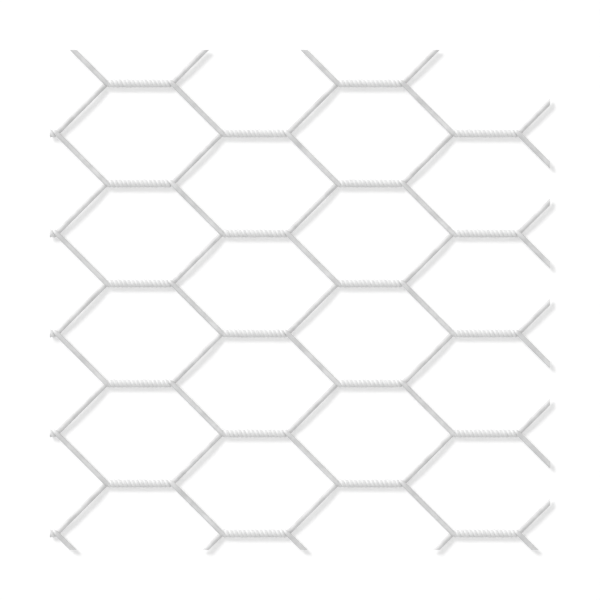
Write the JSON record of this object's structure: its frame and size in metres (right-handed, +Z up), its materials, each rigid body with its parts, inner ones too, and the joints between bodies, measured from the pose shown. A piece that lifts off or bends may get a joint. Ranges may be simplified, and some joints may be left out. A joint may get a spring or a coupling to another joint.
{
  "type": "hexagonal wire netting piece",
  "caption": "Flat square piece of galvanised hexagonal wire netting: zigzag wires, each twisted in turn with the wire on either side, sheared straight on all edges.",
  "frame": {"origin": "under the middle of the piece, on the surface that it lies on", "axes": "+X along the wires and their twisted joints, +Y across the wires towards the top edge, +Z up through the thin direction"},
  "size_m": [0.125, 0.125, 0.0025],
  "materials": {
    "galvanised_wire": "galvanised steel wire, pale neutral grey, satin, with a faint mottle in the zinc"
  },
  "bodies": {
    "root": {"line_wire_1": "galvanised_wire", "line_wire_2": "galvanised_wire", "line_wire_3": "galvanised_wire", "line_wire_4": "galvanised_wire", "line_wire_5": "galvanised_wire", "line_wire_6": "galvanised_wire", "line_wire_7": "galvanised_wire", "line_wire_8": "galvanised_wire", "line_wire_9": "galvanised_wire", "top_edge_wire_1": "galvanised_wire", "top_edge_wire_3": "galvanised_wire", "bottom_edge_wire_0": "galvanised_wire", "bottom_edge_wire_2": "galvanised_wire", "bottom_edge_wire_4": "galvanised_wire"}
  },
  "joints": []
}
